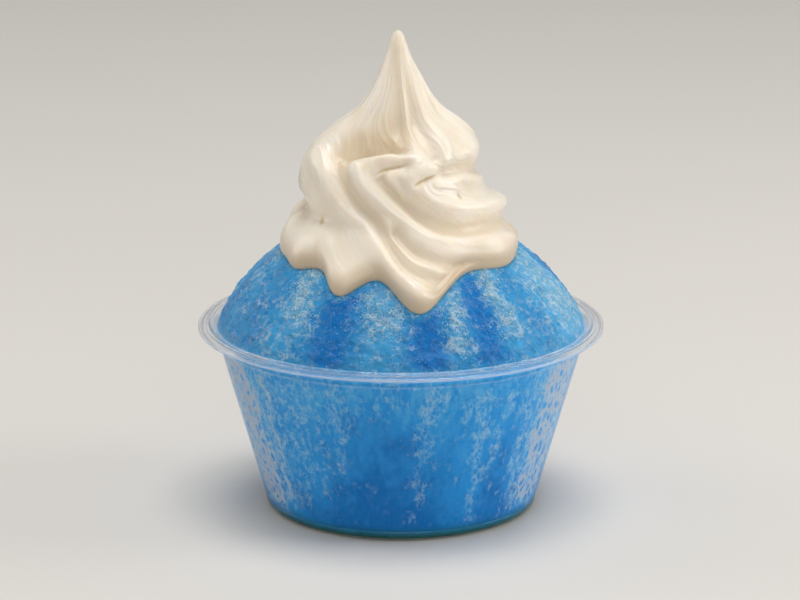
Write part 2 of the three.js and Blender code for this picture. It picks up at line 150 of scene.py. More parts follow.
# Strands: height of the crest (a valley is negative), place in the order in
# which the strands lie side by side, and path as azimuth and height.
STRANDS = [
    # left: lobe, belly and the flank of the big strand
    (0.4, 0.0, [(-176, 97), (-172, 92), (-160, 86)]),
    (-1.0, 0.3, [(-192, 99.5), (-176, 99.3), (-163, 98.6), (-150, 97.9)]),
    (0.6, 0.1, [(-164, 101.6), (-151, 97.1), (-141, 95.2), (-131, 92.3)]),
    (0.2, -0.2, [(-150, 92), (-135, 88), (-118, 84)]),
    (-0.6, 0.6, [(-152, 108), (-140, 102), (-126, 96), (-114, 90), (-107, 85)]),
    (0.8, 2.2, [(-128, 148), (-133, 138), (-148, 131.7), (-166, 126.5), (-172, 120), (-168, 113),
        (-162, 107)]),
    # front
    (2.4, 1.0, [(-158, 116.3), (-144, 113.7), (-134, 107.8), (-119, 102.1), (-107, 97.9),
        (-95, 91.3), (-87, 85.5), (-85, 82.2)]),
    (-2.2, 1.5, [(-136, 117.4), (-130, 112.3), (-120, 105.8), (-105, 100.3), (-96, 94),
        (-87, 87.8), (-75, 85.2), (-62, 84)]),
    (0.9, 1.7, [(-99, 99.6), (-91, 94.5), (-81, 90.5), (-73, 86.9)]),
    (-2.1, 1.85, [(-93, 97.1), (-83, 92), (-74, 89.8), (-61, 86.8), (-48, 84)]),
    (1.2, 1.95, [(-87, 96.8), (-75, 92.7), (-59, 89.9), (-40, 85.9)]),
    (1.1, 2.1, [(-70, 118.6), (-87, 119.7), (-103, 120.4), (-116, 119.6), (-123, 117.3)]),
    (1.9, 2.0, [(-123, 117.3), (-116, 113.4), (-104, 107.9), (-92, 104.2), (-80, 99.1),
        (-69, 95.3), (-49, 93.2), (-18, 90.7)]),
    (-1.4, 2.4, [(-107, 114.4), (-103, 115.8), (-94, 116.8), (-88, 117.2)]),
    (-0.6, 2.55, [(-98, 113.4), (-92, 111.2), (-89, 108)]),
    (-2.4, 2.6, [(-103, 112.6), (-97, 109.4), (-86, 104.4), (-73, 99.3), (-56, 96.5), (-42, 96.3),
        (-25, 95.9), (-6, 94.3)]),
    (2.6, 2.9, [(-71, 116.4), (-79, 115.2), (-84, 113.2), (-82, 110.8)]),
    (2.0, 3.0, [(-82, 110.8), (-78, 108.6), (-67, 105.3), (-48, 102.7), (-31, 101.3), (0, 98.5),
        (24, 96.5)]),
    (-1.9, 3.4, [(-58, 114.2), (-46, 114), (-34, 113.4), (0, 110), (45, 108), (90, 106),
        (135, 102.5), (180, 99.3), (196, 98.5)]),
    (0.8, 3.8, [(-66, 111), (-54, 111.4), (-39, 110.6), (-12, 108), (20, 106)]),
    (-0.8, 3.6, [(-40, 107.4), (-30, 106.2), (0, 104), (40, 101), (75, 96), (100, 91)]),
    # pocket and peak
    (-5.2, 2.9, [(-91, 122.8), (-99, 123.2), (-108, 122.6), (-120, 121.6), (-128, 120.4),
        (-135, 118.2)]),
    (-1.7, 3.3, [(-101, 148), (-94, 136), (-91, 127.3), (-90, 122.8)]),
    (0.9, 3.5, [(-81, 148.6), (-83, 137), (-82, 128.6), (-81, 122.4)]),
    (-1.4, 3.9, [(-67, 148), (-70, 135.4), (-70, 124.7), (-66, 118.6)]),
    (1.5, 4.3, [(-47, 148), (-57, 138), (-55, 128.7), (-51, 122.9), (-56, 117.1)]),
    (-0.9, 4.7, [(-30, 143), (-37, 130.4), (-34, 126.2), (-38, 118.6)]),
    (0.9, 5.1, [(-16, 143), (-16, 131), (-6, 126), (-9, 121), (-20, 115.2)]),
    (-0.5, 5.8, [(30, 142), (26, 130), (36, 122)]),
    (0.5, 6.6, [(70, 142), (62, 130), (74, 122)]),
    (-0.6, 7.2, [(110, 140), (106, 130), (118, 122)]),
    (0.5, 1.6, [(150, 142), (144, 130), (150, 121)]),
    (-0.6, 1.2, [(-176, 140), (-178, 130), (-188, 120), (-192, 114)]),
    # right side and back
    (-1.6, 2.6, [(-16, 94.6), (0, 94), (45, 91.5), (90, 90), (135, 88.6), (170, 87)]),
    (0.6, 5.4, [(-20, 118), (10, 116.5), (50, 114), (90, 112), (130, 110), (170, 108)]),
    (0.5, 4.3, [(60, 105), (90, 98), (120, 95.5), (160, 92.5)]),
    (0.3, 2.2, [(-10, 86.5), (30, 86), (80, 85), (130, 84.5), (175, 84)]),
    (1.6, 5.8, [(0, 128), (22, 119), (48, 112), (84, 101), (112, 95)]),
    (-1.6, 6.2, [(28, 124), (52, 115.5), (84, 106.5), (120, 97.5)]),
    (1.6, 6.6, [(52, 126), (76, 118), (104, 110.5), (140, 100.5), (162, 95)]),
    (-1.6, 7.0, [(80, 122), (106, 114.5), (138, 105.5), (166, 98)]),
    (1.4, 7.4, [(104, 124), (128, 116.5), (158, 109), (180, 104)]),
]
STRAND_STEPS = 24
CREST_BLEND = 6.0  # rounds the strands
VALLEY_BLEND = 1.0  # keeps the valleys between them tight
STRAND_PULL = 1.5
POCKET = (-2.6, 6.5, [(-97, 126), (-112, 124.8), (-126, 122.4)])
# Creases, where one strand folds over the next: height, half width, path, share of
# the length over which each end fades.
CREASES = [
    (-0.9, 0.8, [(-110, 113.4), (-103, 115.8), (-91, 117), (-82, 117.9)], 0.4),
    (-1.3, 0.9, [(-84, 110.2), (-75, 112.4), (-60, 114)], 0.35),
    (-0.4, 1.4, [(-51, 106.6), (-46, 104.9)], 0.3),
    (-0.8, 1.3, [(-144, 98), (-142, 97.3)], 0.0),
]


# ---- mesh steps
CORNER_STEPS = 9
DOME_COLUMNS, DOME_ROWS, CROWN_ROWS = 760, 104, 6
FILL_COLUMNS, FILL_ROWS = 480, 96
SWIRL_COLUMNS, SWIRL_ROWS, LIP_ROWS = 380, 236, 8

# ---- stage
# Soft lights: name, place and size in metres, share of the main light's power.
LIGHTS = [
    ("main light", (0.08, -0.02, 1.25), 0.7, 1.0),
    ("left light", (-1.2, 0.35, 0.4), 0.6, 0.34),
    ("right light", (1.2, 0.0, 0.45), 0.6, 0.66),
    ("front light", (0.15, -1.5, 0.45), 1.0, 0.6),
]
LIGHT_AIM = Vector((0, 0, 0.07))
CAMERA_AIM = Vector((-0.0003, 0, 0.0666))
FLOOR_HALF = 8.0


# ---- curve maths
def smoothstep(x, low, high):
    """0 below low, 1 above high, and 3t^2 - 2t^3 between."""
    t = np.clip((x - low) / (high - low), 0, 1)
    return t * t * (3 - 2 * t)


def bell(azimuth, centre, half_width):
    """exp(-t^2 / 2) of the turn from the centre, in half widths."""
    turn = (azimuth - centre + 180) % 360 - 180
    return np.exp(-0.5 * (turn / half_width) ** 2)


def cubic_through(xs, ys, x):
    """Cubic pieces through the points, whose slope at each is that between its neighbours."""
    slopes = np.gradient(ys, xs)
    slopes[1:-1] = (ys[2:] - ys[:-2]) / (xs[2:] - xs[:-2])
    i = np.clip(np.searchsorted(xs, x) - 1, 0, len(xs) - 2)
    span = xs[i + 1] - xs[i]
    t = np.clip((x - xs[i]) / span, 0, 1)
    start = (1 + 2 * t) * (1 - t) ** 2 * ys[i] + t * (1 - t) ** 2 * span * slopes[i]
    end = t * t * (3 - 2 * t) * ys[i + 1] + t * t * (t - 1) * span * slopes[i + 1]
    return start + end


def curve_along(path, steps):
    """Catmull-Rom curve through a path's points, evenly stepped in its parameter."""
    path = np.asarray(path, float)
    last = len(path) - 1
    u = np.linspace(0, last, steps + 1)
    i = np.minimum(np.floor(u).astype(int), last)
    t = (u - i)[:, None]
    before, here, after, beyond = (path[np.clip(i + k, 0, last)] for k in (-1, 0, 1, 2))
    before = np.where((i == 0)[:, None], here, before)
    start, end = (after - before) / 2, (beyond - here) / 2
    bend = 2 * here - 2 * after + start + end
    turn = -3 * here + 3 * after - 2 * start - end
    return bend * t**3 + turn * t**2 + start * t + here


def value_noise(points, seed):
    """Random numbers at the whole-number lattice points, blended between them with 3t^2 - 2t^3."""
    cell = np.floor(points)
    t = points - cell
    t = t * t * (3 - 2 * t)
    total = np.zeros(points.shape[:-1])
    for corner in np.ndindex(2, 2, 2):
        lattice = (cell + corner) @ np.array([127.1, 311.7, 74.7]) + 19.19 * seed
        number = np.modf(np.abs(np.sin(lattice)) * 43758.5453)[0]
        share = np.prod(np.where(corner, t, 1 - t), axis=-1)
        total += number * share
    return total


# ---- shape functions
def turned(azimuth, radius, height):
    """Places at an azimuth, a radius and a height about the axis."""
    turn, radius, height = np.broadcast_arrays(np.radians(azimuth), radius, height)
    return np.stack([radius * np.cos(turn), radius * np.sin(turn), height], -1)


def wall_outside(z):
    """Radius of the cup's outer face, a cone."""
    return CONE_RADIUS + CONE_FLARE * z


def swirl_edge(azimuth):
    """Reach of the soft serve over the ice: the plain edge plus a bell for each drip."""
    return SWIRL_EDGE + sum(out * bell(azimuth, at, half) for at, out, half in DRIPS)


def dome_height(radius, azimuth):
    """Edge + rise * (1 - (r/R)^shoulder)^fullness, less a bell for each run of syrup in the open."""
    inward = np.clip(1 - (radius / DOME_RADIUS) ** DOME_SHOULDER, 0, 1)
    edge = swirl_edge(azimuth)
    open_ice = smoothstep(radius, edge + 0.5, edge + 5) * smoothstep(DOME_TRIM - radius, 0, 4)
    runs = sum(depth * bell(azimuth, at, half) for at, depth, half in SYRUP_RUNS)
    return DOME_EDGE + DOME_RISE * inward**DOME_FULLNESS - open_ice * runs


def frost_pattern(streaks, azimuth, along):
    """Strongest streak at each place: a bell across it that sways, faded at its two ends."""
    frost = np.zeros(np.broadcast(azimuth, along).shape)
    for top, bottom, half, start, end, strength in streaks:
        t = (along - start) / (end - start)
        waves = 0.45 * np.sin(0.35 * along + top) + 0.25 * np.sin(0.83 * along + 2.1 * top)
        sway = min(half, 3.0) * waves
        centre = top + (bottom - top) * np.clip(t, 0, 1) + sway
        ends = smoothstep(t, -0.06, 0.1) * smoothstep(1 - t, -0.06, 0.2)
        frost = np.maximum(frost, strength * ends * bell(azimuth, centre, half))
    return frost


def syrup_pattern(places, azimuth):
    """How deep the colour is: a bell for each place that the syrup has soaked."""
    return sum(deep * bell(azimuth, at, half) for at, half, deep in places)


def lip_top(azimuth):
    """Height of the runny edge's upper side."""
    return dome_height(swirl_edge(azimuth), azimuth) + LIP_CLEARANCE + LIP_THICKNESS


def bare_radius(azimuth, height):
    """Left and right outlines blended by the azimuth's cosine, spread to the runny edge low down."""
    heights = SWIRL_OUTLINE[:, 0]
    left = np.sqrt(np.maximum(cubic_through(heights, SWIRL_OUTLINE[:, 1] ** 2, height), 0))
    right = np.sqrt(np.maximum(cubic_through(heights, SWIRL_OUTLINE[:, 2] ** 2, height), 0))
    radius = left + (right - left) * (1 + np.cos(np.radians(azimuth))) / 2
    sheet = np.clip((SHEET_TOP - height) / (SHEET_TOP - lip_top(azimuth)), 0, 1)
    return radius + np.sin(np.pi / 2 * sheet) ** 2 * (swirl_edge(azimuth) - radius)


def swirl_point(azimuth, height, radius):
    """Place at an azimuth, height and radius, with the tip leaning aside."""
    point = turned(azimuth, radius, height)
    point[..., 0] += TIP_LEAN * smoothstep(height, LEAN_START, TIP_HEIGHT)
    return point


def path_distance(points, path):
    """Squared distance from each point to a path laid on the bare swirl, and how far along it lies."""
    azimuth, height = curve_along(path, STRAND_STEPS).T
    laid = swirl_point(azimuth, height, bare_radius(azimuth, height))
    nearest = np.full(len(points), np.inf)
    along = np.zeros(len(points))
    for i, (start, end) in enumerate(zip(laid[:-1], laid[1:])):
        length = end - start
        offset = points - start
        t = np.clip(offset @ length / (length @ length), 0, 1)
        squared = (offset * offset).sum(1) - 2 * t * (offset @ length) + t * t * (length @ length)
        closer = squared < nearest
        nearest = np.where(closer, squared, nearest)
        along = np.where(closer, (i + t) / STRAND_STEPS, along)
    return np.maximum(nearest, 0), along


def swirl_relief(points):
    """Relief, strand order and depth of the creases at each point of the bare swirl.

    The strands' heights are averaged with the weight (d^2 + blend)^-pull, where d
    is the distance to the strand, and so is their order. The pocket adds a bell
    exp(-(d/w)^2) and each crease a sharp exp(-d/w).
    """
    relief = np.zeros(len(points))
    order = np.zeros(len(points))
    weights = np.zeros(len(points))
    for rise, place, path in STRANDS:
        blend = CREST_BLEND if rise > 0 else VALLEY_BLEND
        weight = (path_distance(points, path)[0] + blend) ** -STRAND_PULL
        relief += weight * rise
        order += weight * place
        weights += weight
    relief /= weights
    order /= weights
    depth, half_width, path = POCKET
    relief += depth * np.exp(-path_distance(points, path)[0] / half_width**2)
    # folded marks the creases; the cream material paints shade there.
    folded = np.zeros(len(points))
    for rise, half_width, path, fade in CREASES:
        squared, along = path_distance(points, path)
        ends = smoothstep(along, 0, fade) * smoothstep(1 - along, 0, fade) if fade else 1
        crease = ends * np.exp(-np.sqrt(squared) / half_width)
        relief += rise * crease
        folded = np.maximum(folded, crease * (rise < 0))
    return relief, order, folded


# ---- mesh making
def make_piece(name, rings, attributes, material, first_pole, last_pole):
    """Closed skin over rings of points (rows x columns x 3, in mm), with a pole at each end."""
    rows, columns, _ = rings.shape
    points = np.vstack([rings.reshape(-1, 3), first_pole, last_pole])
    first, last = rows * columns, rows * columns + 1
    i = np.arange(columns)
    j = (i + 1) % columns
    here = np.arange(rows - 1)[:, None] * columns
    below = here + columns
    faces = np.stack([here + i, below + i, below + j, here + j], -1).reshape(-1, 4).tolist()
    end = (rows - 1) * columns
    faces += np.stack([np.full(columns, first), i, j], -1).tolist()
    faces += np.stack([end + i, np.full(columns, last), end + j], -1).tolist()
    mesh = bpy.data.meshes.new(name)
    mesh.from_pydata(points * MM, [], faces)
    mesh.shade_smooth()
    for label, values in attributes.items():
        values = np.asarray(values, float).reshape(-1)
        values = np.concatenate([values, np.full(len(points) - len(values), values[-1])])
        mesh.attributes.new(label, "FLOAT", "POINT").data.foreach_set("value", values)
    return place_piece(name, mesh, material)


def place_piece(name, mesh, material):
    """Puts a finished mesh in the scene, on the one body."""
    mesh.validate()
    piece = bpy.data.objects.new(name, mesh)
    mesh.materials.append(material)
    bpy.context.scene.collection.objects.link(piece)
    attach(piece, "root")
    return piece


def lathe(profile, segments):
    """Rings of a profile of (radius, height) turned about the axis."""
    return turned(np.arange(segments) * 360 / segments, profile[:, :1], profile[:, 1:])


# ---- shader wiring
class Wiring:
    """Adds nodes to a tree and joins them up."""

    def __init__(self, tree):
        self.tree = tree

    def node(self, kind, inputs=None, **settings):
        """A node of a kind such as Math or TexNoise, with its inputs joined or set."""
        node = self.tree.nodes.new(kind if kind.startswith("Node") else "ShaderNode" + kind)
        for name, value in settings.items():
            setattr(node, name, value)
        for name, value in (inputs or {}).items():
            if isinstance(value, bpy.types.NodeSocket):
                self.tree.links.new(value, node.inputs[name])
            else:
                node.inputs[name].default_value = value
        return node

    def maths(self, operation, *values):
        return self.node("Math", dict(enumerate(values)), operation=operation).outputs[0]

    def plus(self, first, second):
        return self.maths("ADD", first, second)

    def minus(self, first, second):
        return self.maths("SUBTRACT", first, second)

    def times(self, first, second):
        return self.maths("MULTIPLY", first, second)

    def stirred(self, value, noise, amount):
        """The value moved up and down by noise that lies about a half."""
        return self.plus(value, self.times(self.minus(noise, 0.5), amount))

    def mix(self, share, first, second, blend="MIX"):
        """Blend of two colours, each a socket or three numbers."""
        socket = bpy.types.NodeSocket
        first, second = (c if isinstance(c, socket) else (*c, 1) for c in (first, second))
        inputs = {0: share, 6: first, 7: second}
        return self.node("Mix", inputs, data_type="RGBA", blend_type=blend).outputs[2]

    def remap(self, value, low, high, to_low=0.0, to_high=1.0):
        inputs = {"Value": value, 1: low, 2: high, 3: to_low, 4: to_high}
        return self.node("MapRange", inputs, interpolation_type="SMOOTHSTEP").outputs[0]

    def noise(self, vector, scale, detail=2.0, roughness=0.5, distortion=0.0):
        inputs = {"Vector": vector, "Scale": scale, "Detail": detail, "Roughness": roughness,
                  "Distortion": distortion}
        return self.node("TexNoise", inputs).outputs["Fac"]

    def attribute(self, name):
        return self.node("Attribute", attribute_name=name).outputs["Fac"]

    def place(self, scale=(1, 1, 1)):
        """Object coordinates, stretched."""
        coordinates = self.node("TexCoord").outputs["Object"]
        return self.node("Mapping", {"Vector": coordinates, "Scale": scale}).outputs[0]

    def height(self):
        return self.node("SeparateXYZ", {0: self.place()}).outputs["Z"]

    def clouds(self, vector, per_metre):
        return self.group(mottle_group(), vector=vector, clouds_per_metre=per_metre)["Cloud"]

    def blend(self, share, first, second):
        """Blend of two shaders."""
        return self.node("MixShader", {0: share, 1: first, 2: second}).outputs[0]

    def bump(self, height, strength, distance):
        inputs = {"Height": height, "Strength": strength, "Distance": distance}
        return self.node("Bump", inputs).outputs["Normal"]

    def group(self, tree, **inputs):
        named = {name.replace("_", " ").title(): value for name, value in inputs.items()}
        return self.node("Group", named, node_tree=tree).outputs


def new_material(name):
    """A material with only its output; returns it with its wiring."""
    material = bpy.data.materials.new(name)
    material.use_nodes = True
    material.node_tree.nodes.clear()
    return material, Wiring(material.node_tree)


def finish_material(wiring, shader):
    wiring.node("OutputMaterial", {"Surface": shader})


def finish_principled(wiring, inputs):
    finish_material(wiring, wiring.node("BsdfPrincipled", inputs).outputs[0])


def new_group(name, inputs, outputs):
    """A node group with named float or vector inputs and float outputs."""
    tree = bpy.data.node_groups.new(name, "ShaderNodeTree")
    for label, kind, value in inputs:
        socket = tree.interface.new_socket(label, in_out="INPUT", socket_type=kind)
        if value is not None:
            socket.default_value = value
    for label in outputs:
        tree.interface.new_socket(label, in_out="OUTPUT", socket_type="NodeSocketFloat")
    wiring = Wiring(tree)
    return tree, wiring, wiring.node("NodeGroupInput").outputs


def ice_grain_group():
    """Crystals of shaved ice: curling rims, the net of gaps between lumps, and their height."""
    if "ice grain" in bpy.data.node_groups:
        return bpy.data.node_groups["ice grain"]
    tree, w, given = new_group(
        "ice grain",
        [("Vector", "NodeSocketVector", None), ("Crystals Per Metre", "NodeSocketFloat", 900.0)],
        ["Rims", "Net", "Height"],
    )
    scale = given["Crystals Per Metre"]
    wander = w.node("TexNoise", {"Vector": given["Vector"], "Scale": scale, "Detail": 2.0})
    drift = {0: wander.outputs["Color"], "Scale": 0.0016}
    shift = w.node("VectorMath", drift, operation="SCALE").outputs[0]
    moved = w.node("VectorMath", {0: given["Vector"], 1: shift}, operation="ADD").outputs[0]
    body = w.noise(moved, scale, 1.0, 0.4)
    fine = w.noise(moved, w.times(scale, 2.3), 1.0, 0.5)
    rim = w.remap(w.maths("ABSOLUTE", w.minus(body, 0.5)), 0.01, 0.1, 1, 0)
    fine_rim = w.remap(w.maths("ABSOLUTE", w.minus(fine, 0.52)), 0.01, 0.12, 0.9, 0)
    broken = w.remap(w.noise(moved, w.times(scale, 0.9), 1, 0.5), 0.42, 0.6)
    rims = w.times(w.maths("MAXIMUM", rim, fine_rim), broken)
    cells = w.node("TexVoronoi", {"Vector": moved, "Scale": scale}, feature="DISTANCE_TO_EDGE")
    height = w.plus(w.times(rims, 0.5), w.plus(body, w.times(fine, 0.6)))
    w.node("NodeGroupOutput", {"Rims": rims, "Net": cells.outputs["Distance"], "Height": height})
    return tree


def mottle_group():
    """Soft clouds of lighter and darker tone, as a factor around 1."""
    if "mottle" in bpy.data.node_groups:
        return bpy.data.node_groups["mottle"]
    tree, w, given = new_group(
        "mottle",
        [("Vector", "NodeSocketVector", None), ("Clouds Per Metre", "NodeSocketFloat", 60.0),
         ("Amount", "NodeSocketFloat", 0.1)],
        ["Factor", "Cloud"],
    )
    cloud = w.noise(given["Vector"], given["Clouds Per Metre"], 3.0, 0.55)
    factor = w.maths("MULTIPLY_ADD", w.minus(cloud, 0.5), given["Amount"], 1.0)
    w.node("NodeGroupOutput", {"Factor": factor, "Cloud": cloud})
    return tree


# ---- materials
def plastic_material(colours):
    """Clear moulded plastic: glass-like, faintly milky at the rim, and open to light for shadows."""
    material, w = new_material("clear plastic")
    cloud = w.clouds(w.place(), 45.0)
    rim = w.attribute("rim")
    clear = w.node("BsdfPrincipled", {
        "Base Color": (*colours.plastic, 1), "IOR": 1.33, "Transmission Weight": 1.0,
        "Roughness": w.plus(w.remap(cloud, 0.35, 0.75, 0.01, 0.05), w.times(rim, 0.08)),
        "Normal": w.bump(cloud, 0.05, 0.0004),
    }).outputs[0]
    glow = w.node("BsdfTranslucent", {"Color": (*colours.milk, 1)}).outputs[0]
    haze = w.node("BsdfDiffuse", {"Color": (*colours.milk, 1)}).outputs[0]
    milky = w.blend(0.5, glow, haze)
    passed = w.node("BsdfTransparent", {"Color": (0.95, 0.96, 0.97, 1)}).outputs[0]
    thin = w.remap(rim, 0, 0.2, 0.5, 0)
    clear = w.blend(thin, clear, passed)
    shader = w.blend(w.times(rim, 0.55), clear, milky)
    shadow = w.node("LightPath").outputs["Is Shadow Ray"]
    finish_material(w, w.blend(shadow, shader, passed))
    return material


def melt_material(colours):
    """Melted syrup: wet, dark green at the bottom and bluer towards its top, faintly clouded; the green
    is partly the syrup's colour and partly painted light, the table's warm light seen through the blue
    syrup.
    """
    material, w = new_material("melted syrup")
    height = w.height()
    tone = w.mix(w.remap(height, 0.0008, 0.0034), colours.melt, colours.melt_top)
    flat = w.place((1, 1, 3))
    factor = w.group(mottle_group(), vector=flat, clouds_per_metre=180.0, amount=0.9)["Factor"]
    colour = w.mix(1.0, tone, factor, "MULTIPLY")
    finish_principled(w, {
        "Base Color": colour, "Roughness": 0.08, "IOR": 1.36, "Coat Weight": 0.3, "Coat Roughness": 0.03,
    })
    return material


def ice_top_material(colours):
    """Shaved ice in the open: blue, deeper in the runs, with frosty crumbs and curling rims that are
    partly pale crystal edges and partly painted highlight.
    """
    material, w = new_material("shaved ice")
    place = w.place()
    grain = w.group(ice_grain_group(), vector=place, crystals_per_metre=440.0)
    mottle = w.clouds(place, 170.0)
    cloud = w.noise(place, 420.0, 2.0, 0.55)
    speck = w.noise(place, 900.0, 2.0, 0.6)
    syrup = w.stirred(w.attribute("syrup"), mottle, 1.1)
    blue = w.mix(w.remap(syrup, 0, 0.9), colours.syrup, colours.syrup_deep)
    # Thin syrup is lighter; on the dome's front right this is partly painted light.
    blue = w.mix(w.remap(syrup, 0.2, -0.4, 0, 0.9), blue, colours.syrup_light)
    reach = w.stirred(w.attribute("frost"), mottle, 1.5)
    reach = w.stirred(reach, cloud, 1.5)
    reach = w.minus(w.plus(reach, 0.1), w.times(w.attribute("syrup"), 0.6))
    crumbs = w.remap(w.plus(speck, w.times(reach, 0.14)), 0.56, 0.74)
    rims = w.times(grain["Rims"], w.remap(reach, -0.3, 0.8, 0.06, 0.6))
    colour = w.mix(w.remap(reach, 0.2, 1.3, 0, 0.45), blue, colours.veil)
    crumb = w.mix(w.remap(reach, 0, 1), colours.thaw, colours.crumb)
    colour = w.mix(w.times(crumbs, w.remap(reach, -0.2, 1, 0.25, 0.7)), colour, crumb)
    # Painted highlight: the frost-coloured rims are partly pale crystal edges and partly the glints
    # along them.
    colour = w.mix(rims, colour, colours.frost)
    height = w.plus(w.times(grain["Height"], 0.7), w.times(crumbs, 0.5))
    finish_principled(w, {
        "Base Color": colour, "IOR": 1.31, "Specular IOR Level": 0.35,
        "Roughness": w.remap(crumbs, 0, 1, 0.3, 0.5),
        "Subsurface Weight": 0.3, "Subsurface Radius": (0.3, 0.7, 1.2), "Subsurface Scale": 0.0006,
        "Normal": w.bump(height, 0.65, 0.0008),
    })
    return material


def ice_side_material(colours):
    """Ice pressed against the wall: wet blue lumps in a net of pale gaps, partly painted reflection,
    with curling rims, partly painted highlight.
    """
    material, w = new_material("ice behind the wall")
    tall = w.place((1, 1, 0.62))
    grain = w.group(ice_grain_group(), vector=tall, crystals_per_metre=700.0)
    lumps = w.group(ice_grain_group(), vector=tall, crystals_per_metre=360.0)["Net"]
    cloud = w.noise(w.place((1, 1, 0.7)), 110.0, 4.0, 0.6)
    patch = w.noise(tall, 380.0, 3.0, 0.55)
    streak = w.noise(w.place((1, 1, 0.16)), 500.0, 2.0, 0.5)
    syrup = w.stirred(w.attribute("syrup"), cloud, 1.8)
    syrup = w.stirred(syrup, patch, 0.9)
    blue = w.mix(w.remap(syrup, 0.1, 1), colours.wall_syrup, colours.wall_deep)
    blue = w.mix(w.remap(syrup, 0.15, -0.6, 0, 0.8), blue, colours.wall_light)
    pale_top = w.times(w.remap(streak, 0.45, 0.65, 0, 0.5), w.attribute("top"))
    blue = w.mix(pale_top, blue, colours.wall_light)
    frost = w.maths("MINIMUM", w.attribute("frost"), 1.0)
    reach = w.stirred(w.plus(frost, w.times(w.attribute("top"), 0.15)), cloud, 0.9)
    reach = w.stirred(reach, patch, 2.0)
    side = w.remap(frost, 0.62, 0.95)
    net = w.node("Mix", {0: side, 2: grain["Net"], 3: lumps}).outputs[0]
    apart = w.minus(w.times(w.minus(reach, 0.3), 0.25), net)
    gap = w.remap(apart, -0.02, 0.06)
    edge = w.remap(w.maths("ABSOLUTE", apart), 0, 0.05, 1, 0)
    shy = w.times(grain["Rims"], w.remap(reach, 0.1, 0.9, 0, 0.3))
    rims = w.maths("MAXIMUM", w.times(edge, w.remap(reach, 0.2, 0.7, 0, 0.3)), shy)
    # The pale gaps are partly frosty ice clear of the wall and partly painted reflection.
    pale = w.mix(side, colours.wall_frost, colours.gap_and_reflection)
    colour = w.mix(w.times(gap, w.remap(side, 0, 1, 0.22, 0.95)), blue, pale)
    calm = w.minus(reach, w.times(w.attribute("syrup"), 0.5))
    strokes = w.times(grain["Rims"], w.remap(calm, -0.3, 0.6, 0.04, 0.55))
    colour = w.mix(strokes, colour, colours.wall_frost)
    # Painted highlight: the frost-coloured rims are partly pale crystal edges and partly the glints
    # along them.
    colour = w.mix(rims, colour, colours.frost)
    height = w.height()
    soaked = w.stirred(height, cloud, 0.004)
    colour = w.mix(w.remap(soaked, 0.0062, 0.0022, 0, 0.75), colour, colours.melt_top)
    finish_principled(w, {
        "Base Color": colour, "Roughness": 0.6, "IOR": 1.33, "Specular IOR Level": 0.1,
        "Normal": w.bump(grain["Height"], 0.3, 0.0004),
    })
    return material


def crystal_material(colours):
    """Loose ice crystals: from syrup-tinted to white, glassy enough to glint."""
    material, w = new_material("ice crystals")
    cloud = w.clouds(w.place(), 900.0)
    tint = w.stirred(w.attribute("frost"), cloud, 0.5)
    finish_principled(w, {
        "Base Color": w.mix(w.remap(tint, 0, 1), colours.syrup_light, colours.frost),
        "Roughness": w.remap(cloud, 0.3, 0.7, 0.2, 0.45), "IOR": 1.31, "Subsurface Weight": 0.4,
        "Subsurface Radius": (0.5, 0.8, 1.0), "Subsurface Scale": 0.0008,
    })
    return material


def cream_material(colours):
    """Soft serve: ivory, with painted shade in its valleys, pocket and creases and darker towards its
    runny edge, with fine drawn-out streaks along the strands.
    """
    material, w = new_material("soft serve")
    place = w.place()
    order = w.attribute("order")
    along = w.times(w.attribute("along"), 0.25)
    flow = w.node("CombineXYZ", {"X": order, "Y": along}).outputs[0]
    drawn = w.noise(flow, 7.0, 3.0, 0.55, 0.2)
    cloud = w.clouds(place, 90.0)
    tone = w.mix(w.remap(drawn, 0.4, 0.75, 0, 0.35), colours.cream, colours.cream_light)
    tone = w.mix(w.remap(cloud, 0.45, 0.8, 0, 0.4), tone, colours.dense_cream_and_painted_shade)
    # Painted shade: the low places of the relief, the valleys and the pocket under the tip, are
    # darkened.
    tone = w.mix(w.remap(w.attribute("relief"), -3.6, 0.6, 0.9, 0), tone, colours.dense_cream_and_painted_shade)
    # Painted shade: the creases, where one strand folds over the next, are darkened.
    tone = w.mix(w.remap(w.attribute("folded"), 0.25, 0.95, 0, 0.85), tone, colours.painted_fold_shade)
    # Darker towards the runny lower edge: partly thinner melting cream, partly painted shade.
    tone = w.mix(w.times(w.attribute("melt_and_shade"), 0.9), tone, colours.melting_cream_and_shade)
    bubbles = w.times(w.remap(w.noise(place, 1400.0, 1, 0.5), 0.6, 0.72), w.remap(cloud, 0.5, 0.6))
    height = w.plus(w.times(drawn, w.attribute("drawn")), w.times(bubbles, -0.2))
    finish_principled(w, {
        "Base Color": tone, "IOR": 1.4,
        "Roughness": w.remap(cloud, 0.3, 0.75, 0.3, 0.46),
        "Subsurface Weight": 0.6, "Subsurface Radius": (2.4, 1.6, 0.9), "Subsurface Scale": 0.001,
        "Coat Weight": 0.3, "Coat Roughness": 0.16,
        "Normal": w.bump(height, 0.5, 0.0006),
    })
    return material


def floor_material(colours):
    """Plain pale floor with a barely visible cloudiness."""
    material, w = new_material("pale floor")
    factor = w.group(mottle_group(), vector=w.place(), clouds_per_metre=3.0, amount=0.03)["Factor"]
    finish_principled(w, {
        "Base Color": w.mix(1.0, colours.floor, factor, "MULTIPLY"), "Roughness": 0.75,
    })
    return material


# ---- properties
def length_property(name, description, default):
    return FloatProperty(name=name, description=description, default=default, unit="LENGTH")


def colour_property(name, description, default):
    return FloatVectorProperty(name=name, description=description, default=default, subtype="COLOR",
                               size=3, min=0, max=1)


